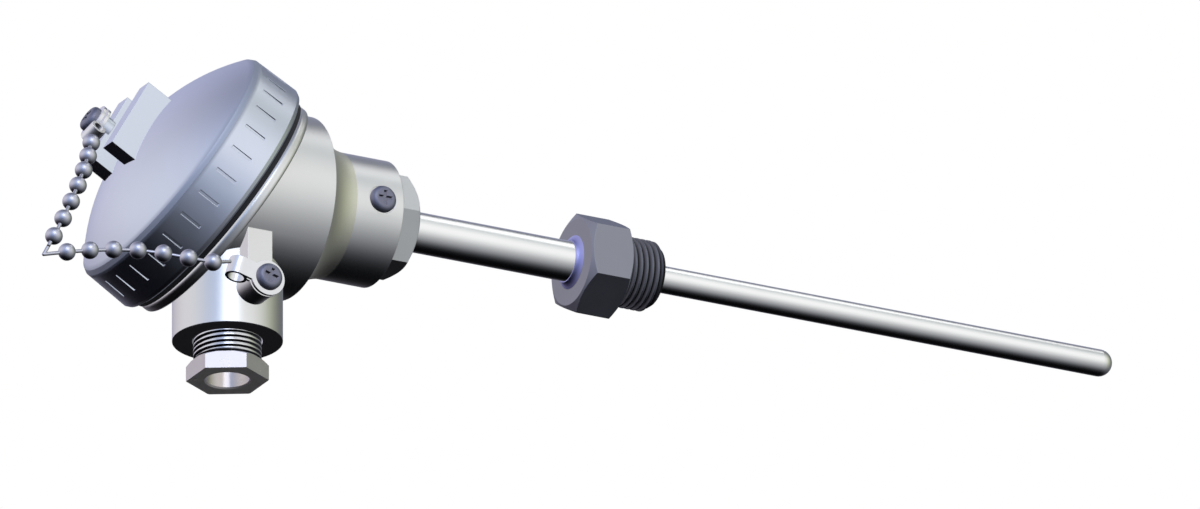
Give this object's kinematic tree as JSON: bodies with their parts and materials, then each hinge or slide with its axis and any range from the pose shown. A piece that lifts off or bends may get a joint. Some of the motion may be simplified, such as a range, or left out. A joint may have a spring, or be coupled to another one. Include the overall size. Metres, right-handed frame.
{
  "type": "thermocouple probe with connection head",
  "caption": "Straight thermocouple probe: closed sheath, threaded process hexagon, extension tube and screw-cap connection head with chain and cable entry.",
  "frame": {"origin": "on the probe axis, at the shoulder where the process hexagon meets its thread", "axes": "+X along the probe to its closed tip, +Z away from the cable entry, whose screw points down -Z"},
  "size_m": [0.3587, 0.0802, 0.0979],
  "materials": {
    "cast_aluminium": "fine satin",
    "lid_aluminium": "fine satin, turned",
    "black_rubber": "matt",
    "plated_steel": "bright plated",
    "screw_steel": "dull plated",
    "bead_chain": "polished",
    "stainless_hexagon": "machined",
    "bright_tube": "drawn, bright",
    "ceramic": "glazed ceramic",
    "thermo_wire": "bare alloy wire",
    "brass": "machined",
    "bright_nickel": "bright nickel plate"
  },
  "bodies": {
    "stem": {"neck_nut": "stainless_hexagon", "extension_tube": "bright_tube", "process_fitting": "stainless_hexagon", "sheath_tube": "bright_tube"},
    "head": {"head_housing": "cast_aluminium", "neck_seal": "black_rubber", "neck_lock_screw": "screw_steel", "body_chain_tag": "plated_steel", "body_chain_screw": "screw_steel", "chain_lower_run": "bead_chain", "ceramic_insulator": "ceramic", "wire_positive": "thermo_wire", "wire_negative": "thermo_wire", "hot_junction": "thermo_wire", "terminal_block": "ceramic", "brass_terminals": "brass", "terminal_screws": "screw_steel", "block_screws": "screw_steel", "ground_screw": "screw_steel", "gland_grommet": "black_rubber"},
    "lid_seal": {"lid_gasket": "black_rubber"},
    "lid": {"screw_lid": "lid_aluminium", "lid_chain_tag": "plated_steel", "lid_chain_screw": "screw_steel"},
    "upper_chain": {"chain_upper_run": "bead_chain"},
    "gland_ring": {"gland_washer": "brass"},
    "gland_screw": {"gland_pressure_screw": "bright_nickel"}
  },
  "joints": [
    {"name": "head_turn", "type": "hinge", "parent": "stem", "child": "head", "pos_m": [-0.0855, 0, 0], "axis": [1, 0, 0], "range_deg": [-170, 170]},
    {"name": "lid_turn", "type": "hinge", "parent": "lid_seal", "child": "lid", "pos_m": [-0.1456, 0, 0.006], "axis": [-0.866, 0, 0.5], "range_deg": [0, 1080]},
    {"name": "lid_lift", "type": "slide", "parent": "head", "child": "lid_seal", "axis": [-0.866, 0, 0.5], "range_m": [0, 0.009]},
    {"name": "chain_swing", "type": "hinge", "parent": "lid", "child": "upper_chain", "pos_m": [-0.16914, 0.00333, 0.01331], "axis": [0.2635, -0.8499, 0.4564], "range_deg": [0, 12]},
    {"name": "gland_turn", "type": "hinge", "parent": "gland_ring", "child": "gland_screw", "pos_m": [-0.1268, 0, -0.05], "axis": [0, 0, -1], "range_deg": [0, 1440]},
    {"name": "gland_travel", "type": "slide", "parent": "head", "child": "gland_ring", "axis": [0, 0, -1], "range_m": [0, 0.006]}
  ],
  "couplings": [
    {"joint": "lid_turn", "follows": "lid_lift", "rad_per_m": 2094.4},
    {"joint": "chain_swing", "follows": "lid_lift", "rad_per_m": 17.174},
    {"joint": "gland_turn", "follows": "gland_travel", "rad_per_m": 4188.8}
  ]
}
